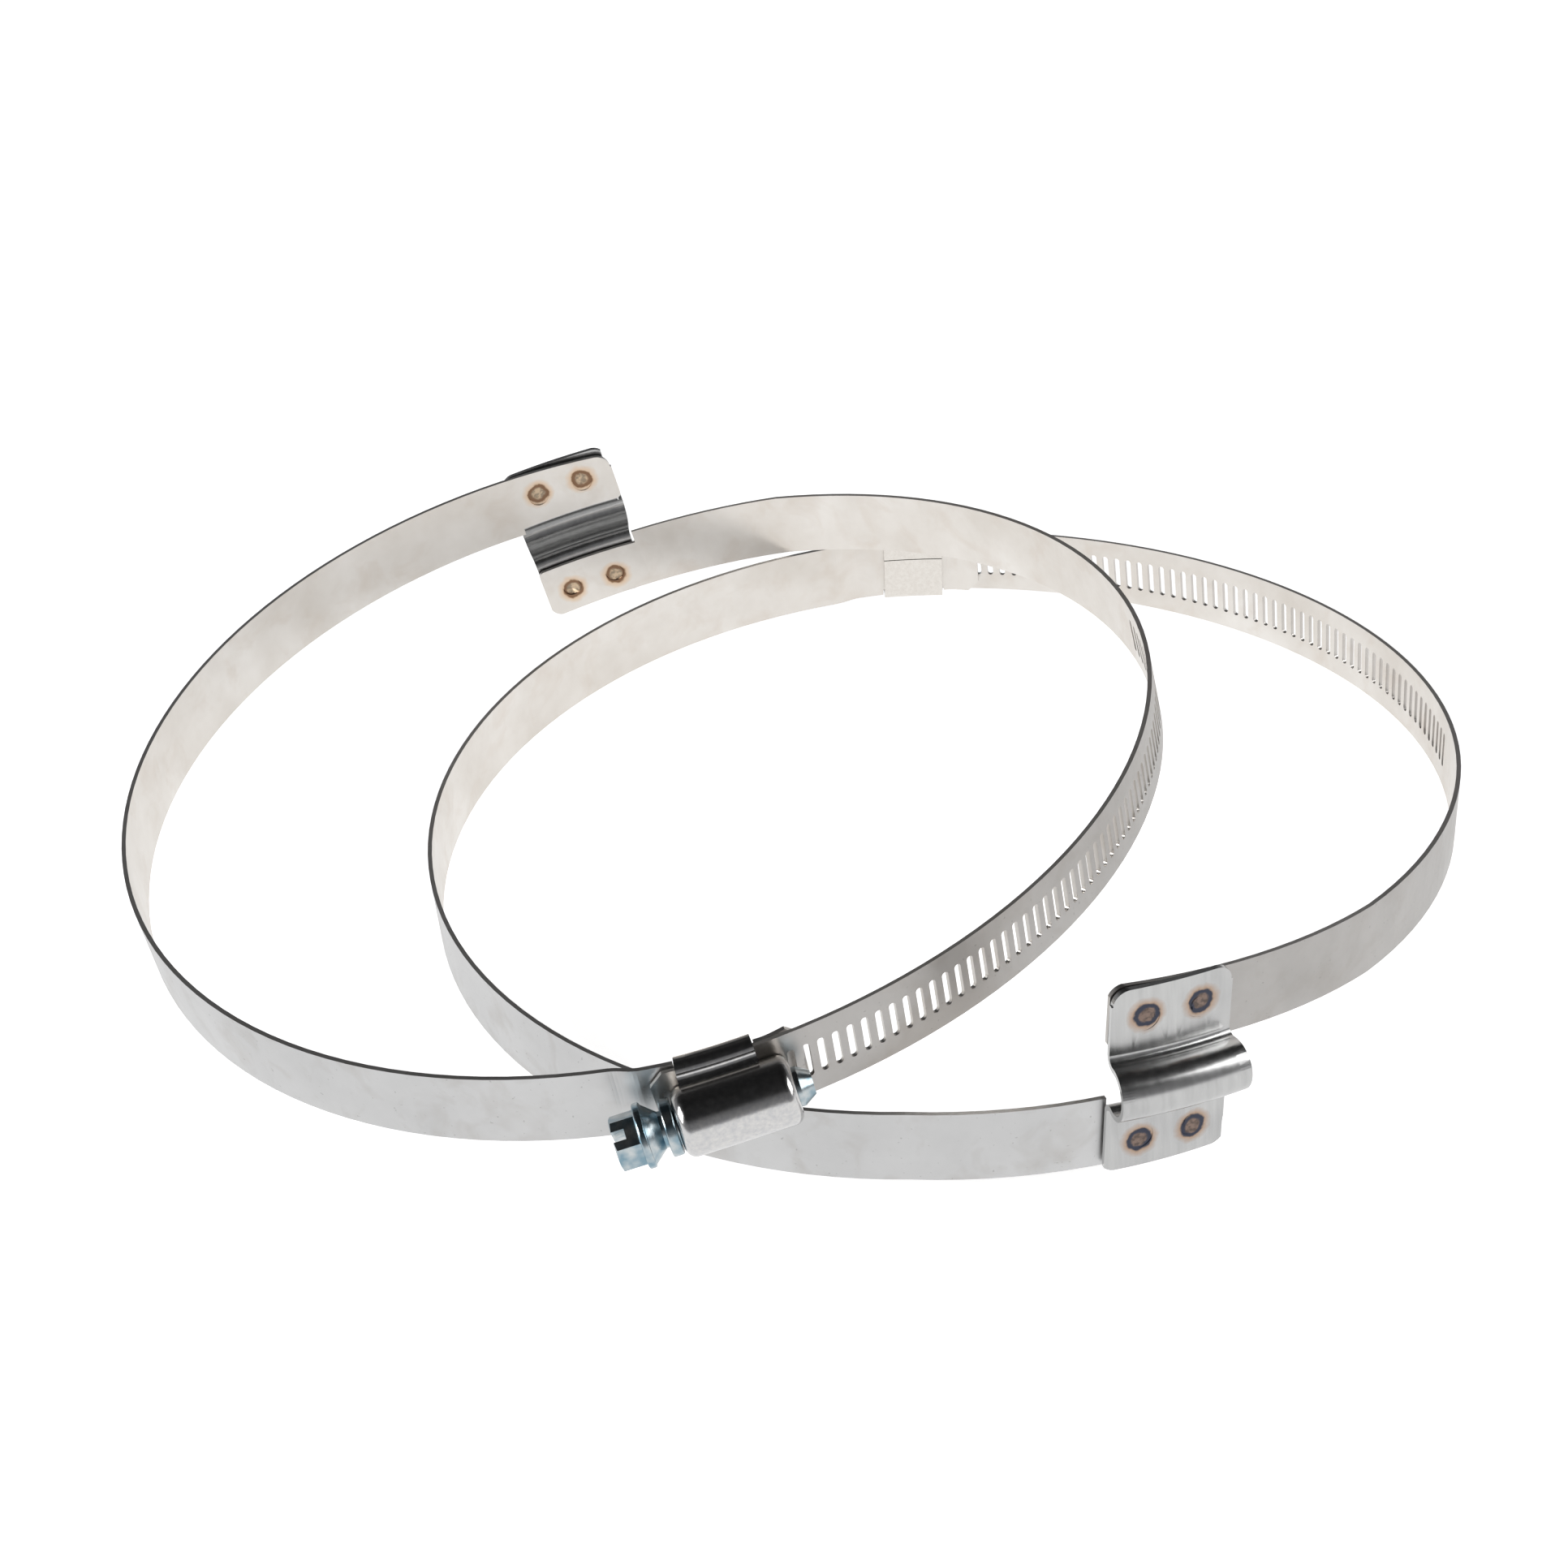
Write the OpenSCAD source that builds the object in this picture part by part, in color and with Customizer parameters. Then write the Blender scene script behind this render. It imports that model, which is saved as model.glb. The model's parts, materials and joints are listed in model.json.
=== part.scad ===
// Pair of worm-drive bridge clamps for wire-wound flexible air duct, one laid
// across the other. Each clamp is a split ring: a plain band and a slotted band
// overlap in a screw housing, and a raised bridge joins them on the far side with
// an axial step, so that the ring follows the helix of the duct's wire.
// Clamp frame: the ring's axis is Z, z = 0 is mid-height of the plain band, and the
// housing sits at -Y. Angles run from +X, so the plain band climbs from -90 degrees.

/* [Ring] */
// Inside diameter of the closed ring, which is the outside of the duct
ring_d = 164; // [150:1:180]
// Axial climb of the slotted band over half a turn
climb = 16.1; // [15:0.1:19]
// Skew of the slotted band, the housing and the screw against the plain band, in degrees
skew = 2.8; // [0:0.1:3]
// Angle along the plain band from housing to bridge, lower clamp
lower_span = 201.4; // [190:0.1:205]
// Angle along the plain band from housing to bridge, upper clamp
upper_span = 180.6; // [175:0.1:190]

/* [Bands at the bridge] */
// Extra height that the slotted band gains before the bridge
rise = 2.4; // [0.5:0.1:3]
// Dip of the plain band before the bridge, lower clamp
lower_dip = 2.1; // [0:0.1:3]
// Dip of the plain band before the bridge, upper clamp
upper_dip = 0; // [0:0.1:3]
// Angle along the ring over which the bands rise and dip
bend_run = 26; // [20:1:35]
// Slope of the bridge along the ring, in degrees
bridge_lean = 4.5; // [0:0.1:5]

/* [Bands] */
// Width of both bands
band_w = 12; // [11:0.5:13]
// Thickness of both bands
band_t = 0.7; // [0.6:0.05:0.8]
// Corner radius of the band ends at the bridge
band_corner = 2.5; // [1.5:0.1:3]
// Length of the slotted band's tail, from mid-housing
tail_len = 10.6; // [9:0.1:12]
// Length of the plain band's tongue, from mid-housing
tongue_len = 11; // [10:0.1:12]
// Chamfer on the corners of the tail and the tongue
end_chamfer = 2; // [1:0.1:2.5]
// Step that lifts the plain band over the housing's legs
joggle = 0.85; // [0.8:0.05:1]
// Length of the ramp of that step
joggle_run = 4.5; // [3:0.5:6]
// Running gap between the two bands in the housing
face_gap = 0.3; // [0.2:0.05:0.4]

/* [Slots] */
// Distance from slot to slot, which is also the pitch of the worm
slot_pitch = 2.25; // [2.2:0.05:2.3]
// Number of slots
slot_count = 63; // [50:1:63]
// Length of a slot across the band
slot_len = 5.9; // [5:0.1:6.5]
// Width of a slot
slot_w = 1.1; // [1:0.05:1.2]

/* [Bridge] */
// Length of the bridge along the ring
bridge_len = 18.2; // [16:0.1:20]
// Thickness of the bridge's sheet
bridge_t = 0.8; // [0.6:0.05:1]
// Height of each welded flange
flange_h = 10.6; // [9.5:0.1:11.5]
// Radius of the bridge's nose, at mid-sheet
nose_r = 3.6; // [3.2:0.1:4]
// Distance of the nose's centre from the flanges, at mid-sheet
nose_out = 2.6; // [2:0.1:3]
// Radius of the bends where the nose leaves the flanges, at mid-sheet
bend_r = 1.6; // [1.2:0.1:2]
// Corner radius of the flanges
flange_corner = 2.5; // [1.5:0.1:3]
// Depth by which the bands are cut back beside the nose
notch_depth = 2; // [1:0.1:2.5]
// Distance of the spot welds from mid-bridge, along the ring
weld_out = 4.2; // [3.5:0.1:5]
// Diameter of the ring that a spot weld presses into the flange
weld_d = 4.3; // [3.5:0.1:4.6]

/* [Housing] */
// Length of the barrel along the screw
barrel_len = 17; // [16:0.1:18]
// Length of the legs that fold round the bands
leg_len = 10.8; // [9:0.1:13]
// Offset of the legs from mid-barrel, towards the head
leg_offset = 1; // [0:0.1:1.5]
// Thickness of the housing's sheet
shell_t = 0.8; // [0.7:0.05:0.8]
// Rounding of the barrel's rolled-in ends
barrel_round = 1.6; // [1:0.1:2]
// Side clearance of the slotted band in the housing
side_gap = 0.35; // [0.3:0.05:1]
// Height above mid-band of the seam where the legs meet
seam_z = 1.4; // [0:0.1:3]

/* [Screw] */
// Diameter over the worm's thread
thread_d = 8.2; // [8.2:0.1:9]
// Depth to which the thread reaches into the slots
mesh_depth = 0.35; // [0.3:0.05:0.35]
// Diameter of the worm's core
core_d = 5.6; // [5.2:0.1:6]
// Hexagon of the head, across its flats
hex_af = 7; // [6:0.5:7]
// Height of the hexagon
hex_h = 3.6; // [3:0.1:4]
// Diameter of the rim under the hexagon
rim_d = 9.3; // [9:0.1:9.3]
// Diameter of the collar that bears on the housing
collar_d = 8.2; // [7.8:0.1:8.2]
// Thickness of that collar
collar_t = 1.6; // [1:0.1:2]
// Angle to which the head is turned, in degrees
head_turn = 60; // [0:5:90]
// Width of the screwdriver slot
driver_w = 1.5; // [1.2:0.1:1.8]
// Depth of the screwdriver slot
driver_depth = 1.9; // [1.5:0.1:2.2]

/* [Lay] */
// Turn of the lower clamp about the vertical, in degrees
lower_turn = 176; // [170:1:180]
// Place of the upper clamp's centre, from the lower clamp's centre
upper_x = -47.4; // [-49:0.1:-46]
upper_y = 2.0; // [1:0.1:3]
upper_z = 18.5; // [18.3:0.1:25]
// Lean of the upper clamp about X, about Y and about the vertical, in degrees
upper_tilt_x = 2.9; // [2.5:0.1:3]
upper_tilt_y = -5.6; // [-5.8:0.1:-5.2]
upper_turn = 7.6; // [6:0.1:9]

/* [Hidden] */

$fn = 96;
reach = 40;                                  // length of cutting tools, past any wall
ring_r = ring_d / 2;
housing_a = -90;                             // angle of mid-housing
half_climb = climb / 2;
lap = joggle + band_t + face_gap;            // slotted band's inner face over the ring, in the housing
flange_gap = 0.35;                           // play between a bridge flange and the slotted band
flange_lift = 0.5;                           // play between a bridge flange and the plain band
slot_face = lap + band_t;                    // slotted band's outer face over the ring
roof_gap = 0.25;                             // play over the slotted band in the housing
bridge_half = asin(bridge_len / 2 / ring_r); // half of the bridge, as an angle
band_over = 0.4;                             // how far a band end shows past the bridge
fold_z = sqrt(pow(nose_r + bend_r, 2) - pow(nose_out - bend_r, 2));
weld_z = fold_z + flange_h / 2;

axis_r = ring_r + slot_face + thread_d / 2 - mesh_depth;
thread_play = 0.15;
bore_r = thread_d / 2 + thread_play;
barrel_r = bore_r + 0.75;
leg_z = band_w / 2 + side_gap;               // inner face of the legs
neck_z = band_w / 2 - 0.8;                   // half-width of the plain band's neck
neck_play = 0.03;                            // play round that neck in the housing
leg_clear = 0.05;                            // legs stand clear of the duct's outside
lead = atan(slot_pitch / (PI * thread_d));   // lead angle of the worm's thread

steel = [0.80, 0.79, 0.77];
bright = [0.62, 0.63, 0.65];
zinc = [0.60, 0.68, 0.75];

function bridge_a(span) = housing_a + span;
// The slotted band's circle touches the plain band's circle at the bridge and lies
// one lap outside it in the housing.
function skew_out(span) = -cos(bridge_a(span)) * (slot_z(bridge_a(span)) + rise) * sin(skew);
function slot_shift(span) = -(lap + flange_gap - flange_lift + skew_out(span)) / (1 + sin(bridge_a(span)));
function slot_r(span) = ring_r + lap + slot_shift(span);
function slot_mid_r(span) = slot_r(span) + band_t / 2;
// Height of the slotted band's middle at an angle, in its own skewed frame
function slot_z(a) = half_climb * (1 + sin(a));
// Heights of the slotted band, the plain band and the bridge, at mid-bridge
function slot_top(span) = (slot_z(bridge_a(span)) + rise) * cos(skew)
    + slot_mid_r(span) * cos(bridge_a(span)) * sin(skew);
function dip(span) = span == lower_span ? lower_dip : upper_dip;
function bridge_z(span) = (slot_top(span) - dip(span)) / 2;
function arc_deg(len, r) = len / r * 180 / PI;
function smooth(t) = t * t * (3 - 2 * t);
function polar(r, a) = [r * cos(a), r * sin(a)];

// Frame on the ring's surface: X along the ring, Y along the ring's axis, Z outward
module on_ring(a, r, z = 0) {
    rotate([0, 0, a]) translate([r, 0, z]) rotate([90, 0, 90]) children();
}

// Frame of the screw: X along the screw towards its head, Y towards the ring's axis
module on_screw() {
    translate([0, -axis_r, 0]) children();
}

// Solid turned about the screw's axis from an outline of [radius, x]
module turned() {
    rotate([0, 90, 0]) rotate_extrude() children();
}

// Flat strip bent round the ring
module strip(r, t, h, a0, a1) {
    rotate([0, 0, a0]) rotate_extrude(angle = a1 - a0) translate([r, -h / 2]) square([t, h]);
}

// All that lies beyond a plane, above it for side 1 and below it for side -1. The plane
// passes the axis at height z, with slope sr outward at angle a and slope st along the ring.
module beyond_plane(a, z, sr, st, side) {
    rotate([0, 0, a]) translate([0, 0, z]) rotate([asin(st / norm([sr, st, 1])), -atan(sr), 0])
        translate([-2 * ring_d, -2 * ring_d, side > 0 ? 0 : -reach]) cube([4 * ring_d, 4 * ring_d, reach]);
}

// Frame of the bridge: turned to its angle, raised to its height and leaned
module at_bridge(span) {
    rotate([0, 0, bridge_a(span)]) translate([0, 0, bridge_z(span)]) rotate([-bridge_lean, 0, 0]) children();
}

// Ramp of a strip between two radii, from angle a0 to a1. Its ends reach into the strips
// that it joins, inside their faces.
module ramp(r0, r1, t, h, a0, a1, steps = 8) {
    into = 0.08;
    inset = 0.01;
    function at(s, extra) = polar(r0 + (r1 - r0) * smooth(max(0, min(1, s))) + extra, a0 + (a1 - a0) * s);
    stops = [-into, each [for (i = [0:steps]) i / steps], 1 + into];
    inner = [for (s = stops) at(s, inset)];
    outer = [for (i = [steps + 2:-1:0]) at(stops[i], t - inset)];
    translate([0, 0, inset - h / 2]) linear_extrude(h - 2 * inset) polygon(concat(inner, outer));
}

// What a corner at the origin loses when it is rounded to radius r, material in -X -Y
module corner_waste(r) {
    difference() {
        translate([-r, -r]) square(r + 1);
        translate([-r, -r]) circle(r);
    }
}

// What a corner at the origin loses to a chamfer, material in -X -Y
module chamfer_waste(c) {
    polygon([[-c - 1, 1], [1, -c - 1], [1, 1]]);
}

// Outline cut from the end of a band at the bridge: its end is at +X and the nose at +Y.
// The band's own edges slant against the bridge by an angle.
module band_end_waste(slant) {
    end_x = bridge_len / 2 + band_over;
    notch_x = -bridge_len / 2 - band_over;
    notch_y = band_w / 2 - notch_depth;
    translate([end_x, -band_w]) square([6, 2 * band_w]);
    translate([end_x, end_x * tan(slant) - band_w / 2]) rotate(slant) mirror([0, 1]) corner_waste(band_corner);
    translate([end_x, notch_y]) corner_waste(1);
    translate([notch_x, notch_y]) square([bridge_len + 4, notch_depth + 2]);
}

// Shallow dimples that the spot welds leave on the inside of a band, at radius r
module weld_dimples(span, r, side) {
    at_bridge(span) for (s = [-1, 1]) on_ring(0, r - 1) translate([s * weld_out, side * weld_z, 0])
        cylinder(d = weld_d - 0.8, h = 1.1);
}

// The plain band's strip, with its dip before the bridge
module plain_strip(span, a0, a1) {
    turn_a = bridge_a(span) - bend_run;
    slope = -dip(span) / ring_r / sin(bend_run);
    if (dip(span) > 0) difference() {
        strip(ring_r, band_t, 3 * band_w, a0, a1);
        beyond_plane(turn_a, band_w / 2, 0, 0, 1);
        beyond_plane(turn_a, band_w / 2, 0, slope, 1);
        intersection() {
            beyond_plane(turn_a, -band_w / 2, 0, 0, -1);
            beyond_plane(turn_a, -band_w / 2, 0, slope, -1);
        }
    }
    else strip(ring_r, band_t, band_w, a0, a1);
}

module plain_band(span) {
    under_a = housing_a + arc_deg(tail_len + 0.8, ring_r);
    ramp_a = under_a + arc_deg(joggle_run, ring_r);
    tongue_a = housing_a - arc_deg(leg_len / 2 - leg_offset + 0.8, ring_r);
    tip_a = housing_a - arc_deg(tongue_len, ring_r);
    end_a = bridge_a(span) + arc_deg(bridge_len / 2 + band_over + 2, ring_r);
    color(steel) difference() {
        union() {
            plain_strip(span, ramp_a, end_a);
            ramp(ring_r + joggle, ring_r, band_t, band_w, under_a, ramp_a);
            strip(ring_r + joggle, band_t, band_w, tongue_a, under_a);
            ramp(ring_r + leg_clear, ring_r + joggle, band_t, band_w, tip_a, tongue_a);
        }
        // Neck that the legs of the housing hook round
        rotate([0, -skew, 0]) for (s = [-1, 1]) on_ring(housing_a, ring_r - 2)
            translate([leg_offset - leg_len / 2 - 0.3, s > 0 ? neck_z : -neck_z - 4, 0])
                cube([leg_len + 0.6, 4, 6]);
        // End of the tongue, with chamfered corners
        on_ring(tip_a, ring_r - 2) translate([-reach, -band_w, 0]) cube([reach, 2 * band_w, 6]);
        for (s = [0, 1]) on_ring(tip_a, ring_r - 2) linear_extrude(6) mirror([1, 0]) mirror([0, s])
            translate([0, band_w / 2]) chamfer_waste(end_chamfer);
        // End under the bridge
        rotate([0, 0, bridge_a(span)]) translate([0, 0, -dip(span)]) rotate([-bridge_lean, 0, 0])
            on_ring(0, ring_r - 2) linear_extrude(6)
                band_end_waste(bridge_lean - atan(dip(span) / ring_r / tan(bend_run)));
        weld_dimples(span, ring_r, -1);
    }
}

// One slanted slot, drawn across the band
module slot() {
    flat = slot_len - slot_w;
    square([slot_w, flat], center = true);
    for (s = [-1, 1]) translate([0, s * flat / 2]) circle(d = slot_w);
}

module slotted_band(span) {
    r = slot_r(span);
    end_a = bridge_a(span);
    free_a = end_a - arc_deg(bridge_len / 2 + band_over + 2, ring_r);
    tail_a = housing_a + 360 + arc_deg(tail_len, r);
    turn_a = end_a + bend_run;
    first_slot = 4 * slot_pitch;
    slope = half_climb / slot_mid_r(span);
    out_slope = slope * sin(turn_a);
    end_slope = slope * cos(turn_a) - rise / slot_mid_r(span) / sin(bend_run);
    lean = bridge_lean - skew * sin(end_a);
    slant = atan(slope * cos(end_a) - rise / slot_mid_r(span) / tan(bend_run)) + lean;
    color(steel) difference() {
        rotate([0, -skew, 0]) translate([0, slot_shift(span), 0]) difference() {
            translate([0, 0, half_climb]) strip(r, band_t, 4 * band_w, free_a, tail_a);
            // Lower edge, then upper edge
            beyond_plane(90, half_climb - band_w / 2, slope, 0, -1);
            beyond_plane(turn_a, half_climb - band_w / 2, out_slope, end_slope, -1);
            intersection() {
                beyond_plane(90, half_climb + band_w / 2, slope, 0, 1);
                beyond_plane(turn_a, half_climb + band_w / 2, out_slope, end_slope, 1);
            }
            for (i = [0:slot_count - 1]) {
                a = housing_a + arc_deg(first_slot - i * slot_pitch, r + band_t);
                on_ring(a, r - 2, slot_z(a)) linear_extrude(6) rotate(-lead) slot();
            }
            // Chamfered corners of the tail
            for (s = [0, 1]) on_ring(tail_a, r - 2, slot_z(tail_a)) linear_extrude(6) mirror([0, s])
                translate([0, band_w / 2]) chamfer_waste(end_chamfer);
            // End under the bridge
            on_ring(end_a, r - 2, slot_z(end_a) + rise) linear_extrude(6) rotate(180 - lean)
                band_end_waste(slant);
        }
        weld_dimples(span, ring_r + flange_lift - flange_gap, 1);
    }
}

// Region under a face of the bridge's sheet that lies e off its middle
module under_bridge(e) {
    depth = 4;
    top = fold_z + flange_h;
    translate([-depth, -top]) square([depth + e, 2 * top]);
    difference() {
        polygon([[-depth, -fold_z], [bend_r, -fold_z], [nose_out, 0], [bend_r, fold_z], [-depth, fold_z]]);
        for (s = [-1, 1]) translate([bend_r, s * fold_z]) circle(bend_r - e);
    }
    translate([nose_out, 0]) circle(nose_r + e);
}

module bridge(span) {
    mid_r = ring_r + band_t + flange_lift + bridge_t / 2;
    face_r = mid_r + bridge_t / 2;
    top = fold_z + flange_h;
    color(bright) at_bridge(span) difference() {
        rotate([0, 0, -bridge_half]) rotate_extrude(angle = 2 * bridge_half) translate([mid_r, 0])
            difference() {
                under_bridge(bridge_t / 2);
                under_bridge(-bridge_t / 2);
                translate([-5, -2 * top]) square([5 - bridge_t / 2, 4 * top]);
            }
        for (sx = [0, 1], sy = [0, 1]) on_ring(0, mid_r - 3) linear_extrude(6)
            mirror([sx, 0]) mirror([0, sy]) translate([bridge_len / 2, top]) corner_waste(flange_corner);
        for (sx = [-1, 1], sy = [-1, 1]) on_ring(0, face_r) translate([sx * weld_out, sy * weld_z, -0.12])
            difference() {
                cylinder(d = weld_d, h = 1);
                translate([0, 0, -1]) cylinder(d = weld_d - 1.5, h = 3);
            }
    }
}

// Barrel outline of [radius, x] with rounded ends
module barrel_outline(r, len, round) {
    square([r - round, len / 2]);
    square([r, len / 2 - round]);
    translate([r - round, len / 2 - round]) circle(round);
}

// Disc outline of [radius, x] from x on, with rounded edges
module disc_outline(r, x, t, edge) {
    translate([0, x]) square([r - edge, t]);
    translate([0, x + edge]) square([r, t - 2 * edge]);
    for (e = [edge, t - edge]) translate([r - edge, x + e]) circle(edge);
}

// Rounded rectangle from corner [x0, y0] to [x1, y1]
module rounded_box(x0, y0, x1, y1, r) {
    translate([x0 + r, y0]) square([x1 - x0 - 2 * r, y1 - y0]);
    translate([x0, y0 + r]) square([x1 - x0, y1 - y0 - 2 * r]);
    for (x = [x0 + r, x1 - r], y = [y0 + r, y1 - r]) translate([x, y]) circle(r);
}

module housing() {
    leg_mid = housing_a + arc_deg(leg_offset, ring_r);
    leg_half = arc_deg(leg_len / 2, ring_r);
    roof = slot_face + roof_gap;
    top = leg_z + shell_t;
    fillet = 1.2;
    color(bright) rotate([0, -skew, 0]) difference() {
        union() {
            on_screw() for (s = [0, 1]) mirror([s, 0, 0]) turned()
                barrel_outline(barrel_r, barrel_len, barrel_round);
            rotate([0, 0, leg_mid - leg_half]) rotate_extrude(angle = 2 * leg_half)
                translate([ring_r, 0]) {
                    rounded_box(leg_clear, -top, roof + shell_t, top, 1.5);
                    // Concave flanks between the barrel and the legs
                    difference() {
                        translate([roof, -barrel_r - fillet]) square([shell_t + fillet, 2 * (barrel_r + fillet)]);
                        for (s = [-1, 1]) translate([roof + shell_t + fillet, s * (barrel_r + fillet)])
                            circle(fillet);
                    }
                }
        }
        on_screw() for (s = [0, 1]) mirror([s, 0, 0]) turned() {
            square([bore_r, barrel_len / 2 - 0.9]);
            square([core_d / 2 + 0.25, barrel_len]);
        }
        // Passage of the slotted band, and below it that of the plain band's neck
        strip(ring_r + joggle + band_t, slot_face + roof_gap - joggle - band_t, 2 * leg_z,
              leg_mid - 2 * leg_half, leg_mid + 2 * leg_half);
        strip(ring_r + joggle - neck_play, band_t + 2 * neck_play, 2 * (neck_z + neck_play),
              leg_mid - 2 * leg_half, leg_mid + 2 * leg_half);
        // Seam where the folded legs meet
        translate([0, 0, seam_z]) strip(ring_r - 1, joggle + 1.01, 0.16,
              leg_mid - 2 * leg_half, leg_mid + 2 * leg_half);
    }
}

// Thread of the worm: a ridge of trapezium section that rises and fades over half a turn
module thread(turns) {
    seg = 24;
    n = turns * seg;
    root = core_d / 2 - 0.3;
    crest = thread_d / 2;
    base_w = 0.55 * slot_pitch;
    crest_w = 0.24 * slot_pitch;
    function crest_at(i) = root + 0.35 + (crest - root - 0.35) * min(1, 2 * i / seg, 2 * (n - i) / seg);
    function section(i) = let (a = i * 360 / seg, x = (i / seg - turns / 2) * slot_pitch, c = crest_at(i))
        [for (p = [[-base_w, root], [-crest_w, c], [crest_w, c], [base_w, root]])
            [x + p[0] / 2, p[1] * cos(a), p[1] * sin(a)]];
    pts = [for (i = [0:n]) each section(i)];
    sides = [for (i = [0:n - 1], k = [0:3]) let (a = 4 * i + k, b = 4 * i + (k + 1) % 4)
        each [[a, b, a + 4], [b, b + 4, a + 4]]];
    caps = [[2, 1, 0], [3, 2, 0], [4 * n, 4 * n + 1, 4 * n + 2], [4 * n, 4 * n + 2, 4 * n + 3]];
    polyhedron(pts, concat(sides, caps));
}

module screw() {
    end = barrel_len / 2;
    collar_x = end + 0.2;
    rim_x = end + 4.3;
    hex_x = rim_x + 1.1;
    core = core_d / 2;
    edge = 0.3;
    color(zinc) rotate([0, -skew, 0]) on_screw() {
        thread(6);
        difference() {
            union() {
                turned() {
                    translate([0, -end - 0.6]) square([core, 2 * end + 1]);
                    polygon([[0, -end - 2.4], [core - 1.1, -end - 2.4], [core, -end - 0.6], [0, -end - 0.6]]);
                    translate([0, end]) square([core - 0.2, rim_x - end]);
                    disc_outline(collar_d / 2, collar_x, collar_t, edge);
                    polygon([[0, rim_x - 2], [core - 0.2, rim_x - 2], [rim_d / 2 - 0.35, rim_x], [0, rim_x]]);
                    disc_outline(rim_d / 2, rim_x, 1.1, edge);
                }
                intersection() {
                    translate([hex_x, 0, 0]) rotate([0, 90, 0]) rotate(head_turn)
                        cylinder(d = hex_af / cos(30), h = hex_h, $fn = 6);
                    turned() polygon([[0, hex_x - 1], [hex_af, hex_x - 1], [hex_af, hex_x + hex_h + 2.2 - hex_af / 2],
                                      [hex_af / 2 - 0.2, hex_x + hex_h], [0, hex_x + hex_h]]);
                }
            }
            rotate([head_turn, 0, 0]) translate([hex_x + hex_h - driver_depth, -reach / 2, -driver_w / 2])
                cube([reach, reach, driver_w]);
        }
    }
}

module lay_lower() {
    rotate([0, 0, lower_turn]) children();
}

module lay_upper() {
    translate([upper_x, upper_y, upper_z]) rotate([upper_tilt_x, upper_tilt_y, upper_turn])
        rotate([0, 180, 0]) children();
}

module lower_plain_band() { lay_lower() plain_band(lower_span); }
module lower_slotted_band() { lay_lower() slotted_band(lower_span); }
module lower_bridge() { lay_lower() bridge(lower_span); }
module lower_housing() { lay_lower() housing(); }
module lower_screw() { lay_lower() screw(); }
module upper_plain_band() { lay_upper() plain_band(upper_span); }
module upper_slotted_band() { lay_upper() slotted_band(upper_span); }
module upper_bridge() { lay_upper() bridge(upper_span); }
module upper_housing() { lay_upper() housing(); }
module upper_screw() { lay_upper() screw(); }

lower_plain_band();
lower_slotted_band();
lower_bridge();
lower_housing();
lower_screw();
upper_plain_band();
upper_slotted_band();
upper_bridge();
upper_housing();
upper_screw();
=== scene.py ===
"""Two worm-drive bridge clamps for flexible air duct, one laid across the other."""
import json
import math

import bmesh
import bpy
from mathutils import Matrix, Vector


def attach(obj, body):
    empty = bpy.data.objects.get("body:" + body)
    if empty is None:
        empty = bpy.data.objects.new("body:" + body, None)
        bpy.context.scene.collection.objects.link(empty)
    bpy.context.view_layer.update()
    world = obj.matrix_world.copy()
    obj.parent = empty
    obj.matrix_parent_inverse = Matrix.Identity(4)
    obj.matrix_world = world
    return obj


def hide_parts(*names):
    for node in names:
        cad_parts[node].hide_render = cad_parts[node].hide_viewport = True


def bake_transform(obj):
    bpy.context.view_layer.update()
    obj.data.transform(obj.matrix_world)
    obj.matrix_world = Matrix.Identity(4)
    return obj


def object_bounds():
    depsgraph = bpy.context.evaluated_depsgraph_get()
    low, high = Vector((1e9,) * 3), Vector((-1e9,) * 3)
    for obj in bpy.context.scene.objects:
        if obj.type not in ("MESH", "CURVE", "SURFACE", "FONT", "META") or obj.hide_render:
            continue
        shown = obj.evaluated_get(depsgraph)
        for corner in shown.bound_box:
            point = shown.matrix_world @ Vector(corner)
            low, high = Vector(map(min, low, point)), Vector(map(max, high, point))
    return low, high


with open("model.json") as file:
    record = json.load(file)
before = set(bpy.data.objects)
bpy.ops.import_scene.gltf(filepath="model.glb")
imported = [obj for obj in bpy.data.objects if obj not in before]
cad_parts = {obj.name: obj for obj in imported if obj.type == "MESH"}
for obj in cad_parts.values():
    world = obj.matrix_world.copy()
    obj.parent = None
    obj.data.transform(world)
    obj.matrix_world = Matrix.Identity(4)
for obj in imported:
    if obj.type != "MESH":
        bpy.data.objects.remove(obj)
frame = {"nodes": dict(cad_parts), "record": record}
cad_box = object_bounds()
nodes = frame["nodes"]
scene = bpy.context.scene

# Lengths in metres, angles in degrees
CAMERA_PLACE = (-0.0239692, -0.3915886, 0.2698838)
CAMERA_TILT = 33.673
CAMERA_ROLL = -6.448
CAMERA_LENS = 66.452
CAMERA_NEAR = 0.01

RING_R = 0.082
BRIDGE_LEAN = 4.5
FLANGE_CORNER = 0.0025
CORNER_STEPS = 7
MERGE_DIST = 2e-6
SLIVER = 1e-6
CUT_DIST = 1e-7
SHARP = 14

WELD_OUT = 0.0042
WELD_FROM_TIP = 0.0053
WELD_REACH = 0.0038
WELD_WANDER = 0.0009
WELD_DEPTH_CUT = 0.85
SIDE_EDGE = 0.02

FLOOR_HALF = 6
FLOOR_WHITE = (0.86, 0.86, 0.86)
FLOOR_GLOW = 0.80
# Height on the sky's globe and its grey, from the horizon up to the zenith
SKY_STOPS = ((0.0, 0.85), (0.04, 0.50), (0.14, 0.24), (0.45, 0.17), (0.66, 0.02), (1.0, 0.008))
SKY_BLUE = 1.02
LAMP_SIZE = 0.6
KEY_PLACE = (-0.9, -0.35, 0.55)
KEY_WATTS = 8
FILL_PLACE = (0.9, -0.25, 0.55)
FILL_WATTS = 4

NONE = (0, 0, 0)
FULL = (1, 1, 1)


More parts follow.
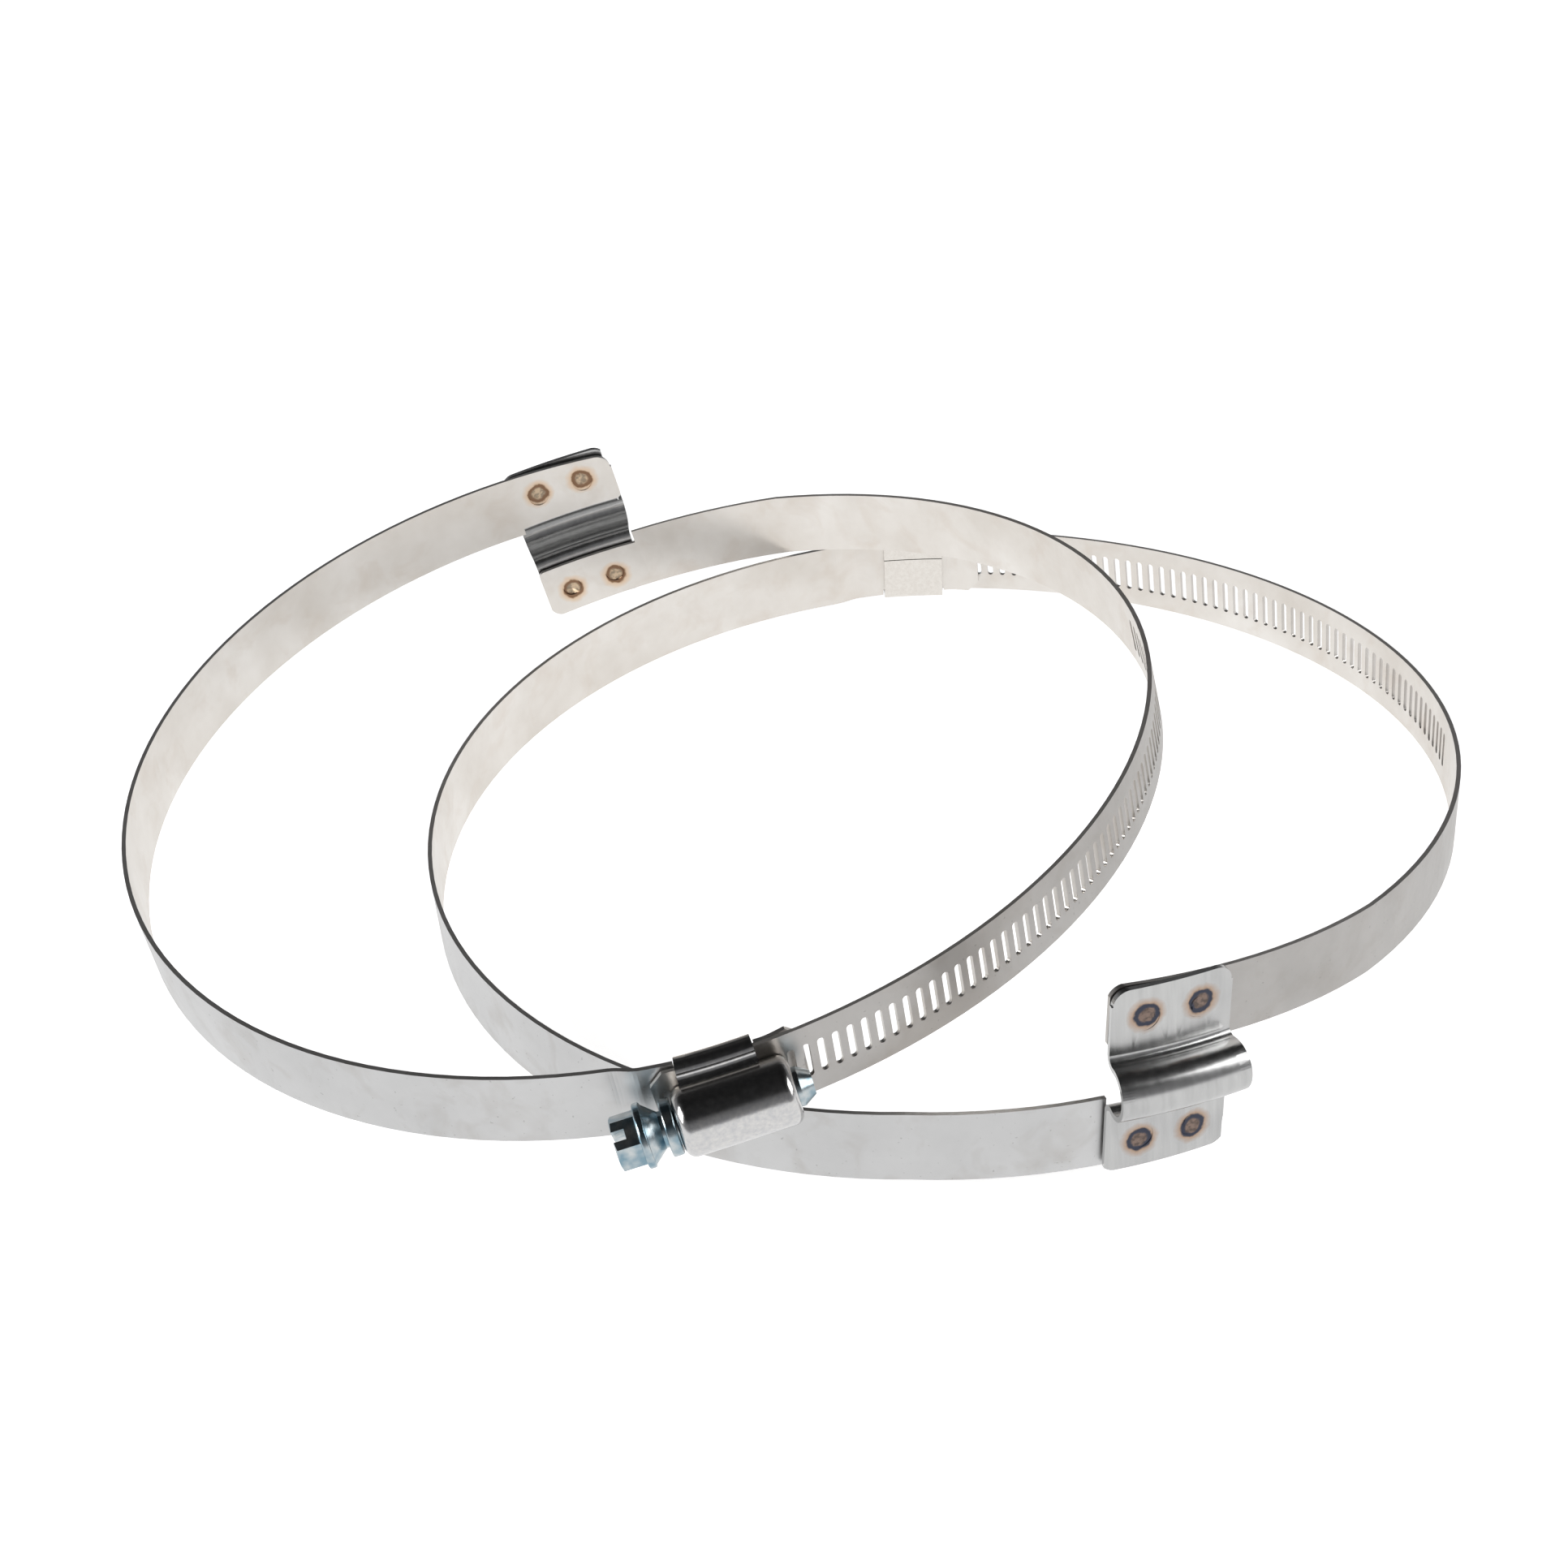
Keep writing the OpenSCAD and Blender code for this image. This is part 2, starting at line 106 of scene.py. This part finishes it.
# ---------------------------------------------------------------- camera

def add_camera():
    """The camera, tilted down and rolled about its own view."""
    tilt, roll = math.radians(CAMERA_TILT), math.radians(CAMERA_ROLL)
    forward = Vector((0, math.cos(tilt), -math.sin(tilt)))
    right = Vector((1, 0, 0))
    up = right.cross(forward)
    across = math.cos(roll) * right + math.sin(roll) * up
    upward = -math.sin(roll) * right + math.cos(roll) * up
    data = bpy.data.cameras.new("camera")
    data.sensor_width = 36
    data.lens = CAMERA_LENS
    data.clip_start = CAMERA_NEAR
    camera = bpy.data.objects.new("camera", data)
    camera.matrix_world = Matrix((
        (across.x, upward.x, -forward.x, CAMERA_PLACE[0]),
        (across.y, upward.y, -forward.y, CAMERA_PLACE[1]),
        (across.z, upward.z, -forward.z, CAMERA_PLACE[2]),
        (0, 0, 0, 1)))
    scene.collection.objects.link(camera)
    scene.camera = camera


# ---------------------------------------------------------------- finishes

class Finish:
    """A material's node tree, built a node at a time."""

    def __init__(self, name):
        self.material = bpy.data.materials.new(name)
        self.material.use_nodes = True
        self.tree = self.material.node_tree
        self.shader = self.tree.nodes["Principled BSDF"]
        self.place = self.add("ShaderNodeTexCoord").outputs["Object"]

    def add(self, kind, **values):
        node = self.tree.nodes.new(kind)
        for key, value in values.items():
            setattr(node, key, value)
        return node

    def join(self, output, socket):
        self.tree.links.new(output, socket)

    def join_or_set(self, value, socket):
        """Links an output to a socket, or sets the socket to a number or a colour."""
        if hasattr(value, "node"):
            self.join(value, socket)
        elif isinstance(value, (int, float)):
            socket.default_value = value
        else:
            socket.default_value = (*value, 1)

    def stretched(self, scale):
        node = self.add("ShaderNodeMapping")
        node.inputs["Scale"].default_value = scale
        self.join(self.place, node.inputs["Vector"])
        return node.outputs["Vector"]

    def noise(self, scale, vector=None, detail=3, rough=0.5, distort=0):
        node = self.add("ShaderNodeTexNoise")
        node.inputs["Scale"].default_value = scale
        node.inputs["Detail"].default_value = detail
        node.inputs["Roughness"].default_value = rough
        node.inputs["Distortion"].default_value = distort
        self.join(vector or self.place, node.inputs["Vector"])
        return node.outputs["Fac"]

    def ramp(self, fac, *stops):
        node = self.add("ShaderNodeValToRGB")
        points = node.color_ramp.elements
        while len(points) < len(stops):
            points.new(0.5)
        for point, (at, colour) in zip(points, stops):
            point.position = at
            point.color = (*colour, 1)
        self.join(fac, node.inputs["Fac"])
        return node.outputs["Color"]

    def mix(self, fac, first, second, how="MIX"):
        node = self.add("ShaderNodeMix", data_type="RGBA", blend_type=how)
        self.join_or_set(fac, node.inputs[0])
        self.join_or_set(first, node.inputs[6])
        self.join_or_set(second, node.inputs[7])
        return node.outputs[2]

    def maths(self, how, first, second):
        node = self.add("ShaderNodeMath", operation=how)
        self.join_or_set(first, node.inputs[0])
        self.join_or_set(second, node.inputs[1])
        return node.outputs[0]

    def level(self, fac, low, high):
        node = self.add("ShaderNodeMapRange")
        node.inputs["To Min"].default_value = low
        node.inputs["To Max"].default_value = high
        self.join(fac, node.inputs["Value"])
        return node.outputs["Result"]

    def bump(self, height, strength, distance):
        node = self.add("ShaderNodeBump")
        node.inputs["Strength"].default_value = strength
        node.inputs["Distance"].default_value = distance
        self.join(height, node.inputs["Height"])
        self.join(node.outputs["Normal"], self.shader.inputs["Normal"])

    def paint(self, colour, rough, metallic=1.0):
        self.join_or_set(colour, self.shader.inputs["Base Color"])
        self.join_or_set(rough, self.shader.inputs["Roughness"])
        self.shader.inputs["Metallic"].default_value = metallic
        return self.material


def radial_side(f, which):
    """1 on faces that look away from the ring's axis, 0 on those that look towards it."""
    centre = rings[which][0]
    away = f.add("ShaderNodeVectorMath", operation="SUBTRACT")
    f.join(f.place, away.inputs[0])
    away.inputs[1].default_value = centre
    facing = f.add("ShaderNodeVectorMath", operation="DOT_PRODUCT")
    f.join(away.outputs[0], facing.inputs[0])
    f.join(f.add("ShaderNodeNewGeometry").outputs["Normal"], facing.inputs[1])
    side = f.add("ShaderNodeMapRange")
    f.join(facing.outputs["Value"], side.inputs["Value"])
    side.inputs["From Min"].default_value = -SIDE_EDGE
    side.inputs["From Max"].default_value = SIDE_EDGE
    return side.outputs["Result"]


def weld_tint(f, which, colour, near, disc, rim, halo):
    """Heat colours of the spot welds: a disc, a dark rim and a halo that fades into the sheet."""
    wander = f.maths("MULTIPLY", f.noise(700, detail=2), WELD_WANDER)
    patch = f.noise(1300, detail=2)
    disc = f.ramp(patch, (0.42, disc), (0.60, [value * 0.45 for value in disc]))
    for weld in welds[which]:
        away = f.add("ShaderNodeVectorMath", operation="SUBTRACT")
        f.join(f.place, away.inputs[0])
        away.inputs[1].default_value = weld
        # Depth through the sheets counts for little, so that both faces get the mark
        depth = f.add("ShaderNodeVectorMath", operation="PROJECT")
        f.join(away.outputs[0], depth.inputs[0])
        depth.inputs[1].default_value = bridge_out(which)
        flat = f.add("ShaderNodeVectorMath", operation="MULTIPLY_ADD")
        f.join(depth.outputs[0], flat.inputs[0])
        flat.inputs[1].default_value = [-WELD_DEPTH_CUT] * 3
        f.join(away.outputs[0], flat.inputs[2])
        reach = f.add("ShaderNodeVectorMath", operation="LENGTH")
        f.join(flat.outputs[0], reach.inputs[0])
        span = f.add("ShaderNodeMapRange")
        f.join(f.maths("ADD", reach.outputs["Value"], wander), span.inputs["Value"])
        span.inputs["From Max"].default_value = WELD_REACH
        ring = f.ramp(span.outputs["Result"], (0.50, rim), (0.60, rim), (0.68, halo))
        inner = f.ramp(span.outputs["Result"], (0.40, NONE), (0.48, FULL))
        strength = f.ramp(span.outputs["Result"],
                          (0.0, (near, near, near)),
                          (0.60, (0.95, 0.95, 0.95)),
                          (0.68, (0.65, 0.65, 0.65)),
                          (0.95, NONE))
        colour = f.mix(strength, colour, f.mix(inner, disc, ring))
    return colour


def band_steel(which, slotted):
    """Satin rolled strip: painted light makes its inside faces paler and warmer; the slotted band's
    outside is painted darker and warmer.
    """
    f = Finish(which + ("_slotted_band" if slotted else "_plain_band"))
    grain = f.noise(1500, detail=2)
    cloud = f.noise(55, detail=4, rough=0.6)
    smudge = f.noise(150, detail=3, rough=0.6, distort=0.5)
    dark, pale = (0.57, 0.57, 0.57), (0.65, 0.65, 0.65)
    # The slotted band's outside is painted darker and warmer than the plain band's
    if slotted:
        dark, pale = (0.43, 0.415, 0.40), (0.52, 0.505, 0.49)
    outside = f.ramp(cloud, (0.3, dark), (0.7, pale))
    # Painted light: a paler, warmer copy of the steel for the faces that look towards the ring's
    # axis
    inside = f.ramp(cloud, (0.3, (0.74, 0.695, 0.64)), (0.7, (0.89, 0.86, 0.82)))
    stain = f.ramp(smudge, (0.50, NONE), (0.75, (0.30, 0.30, 0.30)))
    outside = f.mix(stain, outside, (0.36, 0.325, 0.29))
    inside = f.mix(stain, inside, (0.62, 0.52, 0.43))
    speck = f.ramp(f.noise(1600, detail=1), (0.72, NONE), (0.78, (0.35, 0.35, 0.35)))
    outside = f.mix(speck, outside, (0.20, 0.19, 0.18))
    inside = weld_tint(f, which, inside, near=0.8, disc=(0.64, 0.47, 0.30),
                       rim=(0.22, 0.11, 0.05), halo=(0.78, 0.52, 0.30))
    # Inside faces take the painted-light copy, outside faces the plainer one
    colour = f.mix(radial_side(f, which), inside, outside)
    f.bump(f.maths("ADD", grain, f.maths("MULTIPLY", cloud, 2)), strength=0.08, distance=0.00005)
    return f.paint(colour, f.level(grain, 0.32, 0.42))


def bridge_steel(which):
    """Brushed sheet, with the heat colours of its four spot welds."""
    f = Finish(which + "_bridge")
    grain = f.noise(900, f.stretched((1, 1, 0.08)), detail=4)
    cloud = f.noise(70, detail=3)
    base = f.ramp(cloud, (0.3, (0.50, 0.50, 0.50)), (0.7, (0.60, 0.60, 0.595)))
    streak = f.ramp(grain, (0.35, (0.90, 0.90, 0.90)), (0.65, FULL))
    base = f.mix(1.0, base, streak, how="MULTIPLY")
    outside = weld_tint(f, which, base, near=0.9, disc=(0.22, 0.15, 0.12),
                        rim=(0.03, 0.035, 0.06), halo=(0.42, 0.24, 0.12))
    colour = f.mix(radial_side(f, which), base, outside)
    f.bump(grain, strength=0.05, distance=0.00005)
    return f.paint(colour, f.level(grain, 0.18, 0.27))


def housing_steel(which):
    """Drawn and polished sheet, lightly mottled, with painted light making its faces towards the
    ring's axis paler and warmer.
    """
    f = Finish(which + "_housing")
    grain = f.noise(1200, detail=3)
    mottle = f.noise(1400, detail=2, rough=0.6)
    outside = f.ramp(mottle, (0.30, (0.58, 0.58, 0.59)), (0.70, (0.70, 0.69, 0.675)))
    # Painted light: a paler, warmer cream copy of the steel for the faces that look towards the
    # ring's axis
    inside = f.ramp(mottle, (0.35, (0.76, 0.72, 0.67)), (0.65, (0.81, 0.775, 0.725)))
    colour = f.mix(radial_side(f, which), inside, outside)
    f.bump(mottle, strength=0.12, distance=0.00006)
    return f.paint(colour, f.level(grain, 0.13, 0.24))


def zinc(which):
    """Bright zinc plate with a blue passivated tint."""
    f = Finish(which + "_zinc")
    grain = f.noise(900, detail=4)
    tint = f.noise(420, detail=2)
    colour = f.ramp(tint, (0.35, (0.24, 0.36, 0.43)), (0.65, (0.58, 0.62, 0.63)))
    f.bump(grain, strength=0.16, distance=0.00008)
    return f.paint(colour, f.level(grain, 0.18, 0.30))


# ---------------------------------------------------------------- bands and bridges

def ring_of(which):
    """Centre and axis of a clamp's ring, from its mount."""
    mount = next(m for m in frame["record"]["mounts"] if m["name"] == which + "_ring")
    return Vector(mount["pos_m"]), -Vector(mount["axis"]).normalized()


def bridge_out(which):
    """Direction from the ring's axis to the middle of its bridge."""
    centre, axis = rings[which]
    points = [vertex.co for vertex in nodes[which + "_bridge"].data.vertices]
    out = sum(points, Vector()) / len(points) - centre
    return (out - out.dot(axis) * axis).normalized()


def welds_of(which):
    """Centres of the four spot welds on a bridge, from how far its sheet reaches."""
    centre, axis = rings[which]
    points = [vertex.co for vertex in nodes[which + "_bridge"].data.vertices]
    middle = sum(points, Vector()) / len(points)
    out = bridge_out(which)
    along = axis.cross(out)
    span = [(p - middle).dot(axis) for p in points]
    flange = (max(span) - min(span)) / 2 - WELD_FROM_TIP
    mid = (max(span) + min(span)) / 2
    face = max((p - centre).dot(out) for p in points if abs((p - middle).dot(axis) - mid) > flange)
    slope = math.radians(BRIDGE_LEAN)
    found = []
    for side in (-1, 1):
        for end in (-1, 1):
            up = side * flange * math.cos(slope) - end * WELD_OUT * math.sin(slope)
            across = side * flange * math.sin(slope) + end * WELD_OUT * math.cos(slope)
            base = centre + axis * ((middle - centre).dot(axis) + mid + up)
            fall = across ** 2 / 2 / RING_R
            found.append(base + out * (face - fall) + along * across)
    return found


def copied(node):
    """A bmesh of a CAD node with its loose triangles joined up."""
    form = bmesh.new()
    form.from_mesh(nodes[node].data)
    bmesh.ops.remove_doubles(form, verts=form.verts, dist=MERGE_DIST)
    bmesh.ops.dissolve_degenerate(form, edges=form.edges, dist=SLIVER)
    bmesh.ops.recalc_face_normals(form, faces=form.faces)
    return form


def piece_from(form, name, node):
    """An object made from a bmesh, which stands for a CAD node."""
    mesh = bpy.data.meshes.new(name)
    form.to_mesh(mesh)
    form.free()
    mesh.polygons.foreach_set("use_smooth", [True] * len(mesh.polygons))
    mesh.set_sharp_from_angle(angle=math.radians(SHARP))
    piece = bpy.data.objects.new(name, mesh)
    scene.collection.objects.link(piece)
    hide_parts(node)
    return piece


def dress_band(which):
    """The slotted band, which bends from the bridge round to the housing."""
    node = which + "_slotted_band"
    strip = piece_from(copied(node), which + "_band_strip", node)
    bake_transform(strip)
    return strip


def dress_bridge(which):
    """The bridge, with all four corners of its flanges rounded by tangent cuts."""
    node = which + "_bridge"
    form = copied(node)
    axis = rings[which][1]
    out = bridge_out(which)
    along = axis.cross(out)
    lean = math.radians(BRIDGE_LEAN)
    run = along * math.cos(lean) - axis * math.sin(lean)
    rise = axis * math.cos(lean) + along * math.sin(lean)
    spans = []
    for direction in (run, rise):
        places = [vertex.co.dot(direction) for vertex in form.verts]
        spans.append((min(places), max(places)))
    for side in (-1, 1):
        for end in (-1, 1):
            corner = run * (spans[0][side > 0] - side * FLANGE_CORNER)
            corner = corner + rise * (spans[1][end > 0] - end * FLANGE_CORNER)
            for step in range(1, CORNER_STEPS):
                turn = math.pi / 2 * step / CORNER_STEPS
                normal = run * side * math.cos(turn) + rise * end * math.sin(turn)
                cut = bmesh.ops.bisect_plane(
                    form, geom=form.verts[:] + form.edges[:] + form.faces[:], dist=CUT_DIST,
                    plane_co=corner + normal * FLANGE_CORNER, plane_no=normal, clear_outer=True)
                rim = [part for part in cut["geom_cut"] if isinstance(part, bmesh.types.BMEdge)]
                if rim:
                    bmesh.ops.triangle_fill(form, use_beauty=True, edges=rim)
    bmesh.ops.recalc_face_normals(form, faces=form.faces)
    bridge = piece_from(form, which + "_bridge_sheet", node)
    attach(bridge, which + "_clamp")
    return bridge


# ---------------------------------------------------------------- stage

def add_stage():
    """A pale floor that looks white to the camera and to gloss, and keeps a faint shadow."""
    form = bmesh.new()
    bmesh.ops.create_grid(form, x_segments=2, y_segments=2, size=FLOOR_HALF,
                          matrix=Matrix.Translation((0, 0, cad_box[0][2])))
    mesh = bpy.data.meshes.new("floor")
    form.to_mesh(mesh)
    form.free()
    floor = bpy.data.objects.new("floor", mesh)
    scene.collection.objects.link(floor)
    f = Finish("floor_white")
    f.paint(FLOOR_WHITE, 1.0, metallic=0)
    glow = f.add("ShaderNodeEmission")
    glow.inputs["Strength"].default_value = FLOOR_GLOW
    both = f.add("ShaderNodeAddShader")
    f.join(glow.outputs[0], both.inputs[0])
    f.join(f.shader.outputs[0], both.inputs[1])
    mirrored = f.add("ShaderNodeEmission")
    path = f.add("ShaderNodeLightPath")
    surface = f.shader.outputs[0]
    for ray, seen in (("Is Glossy Ray", mirrored), ("Is Camera Ray", both)):
        mixer = f.add("ShaderNodeMixShader")
        f.join(path.outputs[ray], mixer.inputs[0])
        f.join(surface, mixer.inputs[1])
        f.join(seen.outputs[0], mixer.inputs[2])
        surface = mixer.outputs[0]
    f.join(surface, f.tree.nodes["Material Output"].inputs["Surface"])
    mesh.materials.append(f.material)


def add_light(name, place, watts):
    """A square soft lamp that points at the middle of the floor."""
    data = bpy.data.lights.new(name, "AREA")
    data.shape = "SQUARE"
    data.size = LAMP_SIZE
    data.energy = watts
    lamp = bpy.data.objects.new(name, data)
    lamp.location = place
    lamp.rotation_euler = (-Vector(place)).to_track_quat("-Z", "Y").to_euler()
    scene.collection.objects.link(lamp)


def add_world():
    """Studio light that is pale at the horizon and dark overhead."""
    world = bpy.data.worlds.new("studio")
    scene.world = world
    world.use_nodes = True
    tree = world.node_tree
    place = tree.nodes.new("ShaderNodeTexCoord")
    split = tree.nodes.new("ShaderNodeSeparateXYZ")
    tree.links.new(place.outputs["Generated"], split.inputs[0])
    ramp = tree.nodes.new("ShaderNodeValToRGB")
    points = ramp.color_ramp.elements
    while len(points) < len(SKY_STOPS):
        points.new(0.5)
    for point, (at, grey) in zip(points, SKY_STOPS):
        point.position = at
        point.color = (grey, grey, grey * SKY_BLUE, 1)
    tree.links.new(split.outputs["Z"], ramp.inputs["Fac"])
    lit = tree.nodes["Background"]
    tree.links.new(ramp.outputs["Color"], lit.inputs["Color"])
    # The camera sees plain white behind the floor's edge
    white = tree.nodes.new("ShaderNodeBackground")
    white.inputs["Color"].default_value = (1, 1, 1, 1)
    path = tree.nodes.new("ShaderNodeLightPath")
    mixer = tree.nodes.new("ShaderNodeMixShader")
    tree.links.new(path.outputs["Is Camera Ray"], mixer.inputs[0])
    tree.links.new(lit.outputs[0], mixer.inputs[1])
    tree.links.new(white.outputs[0], mixer.inputs[2])
    tree.links.new(mixer.outputs[0], tree.nodes["World Output"].inputs["Surface"])


scene.view_settings.view_transform = "Standard"
add_camera()
rings = {which: ring_of(which) for which in ("lower", "upper")}
welds = {which: welds_of(which) for which in rings}
for which in rings:
    strip = dress_band(which)
    bridge = dress_bridge(which)
    finishes = {
        "plain_band": band_steel(which, slotted=False),
        "housing": housing_steel(which),
        "screw": zinc(which),
    }
    for node, finish in finishes.items():
        mesh = nodes[which + "_" + node].data
        mesh.materials.clear()
        mesh.materials.append(finish)
    strip.data.materials.append(band_steel(which, slotted=True))
    bridge.data.materials.append(bridge_steel(which))

add_stage()
add_world()
add_light("key", KEY_PLACE, KEY_WATTS)
add_light("fill", FILL_PLACE, FILL_WATTS)
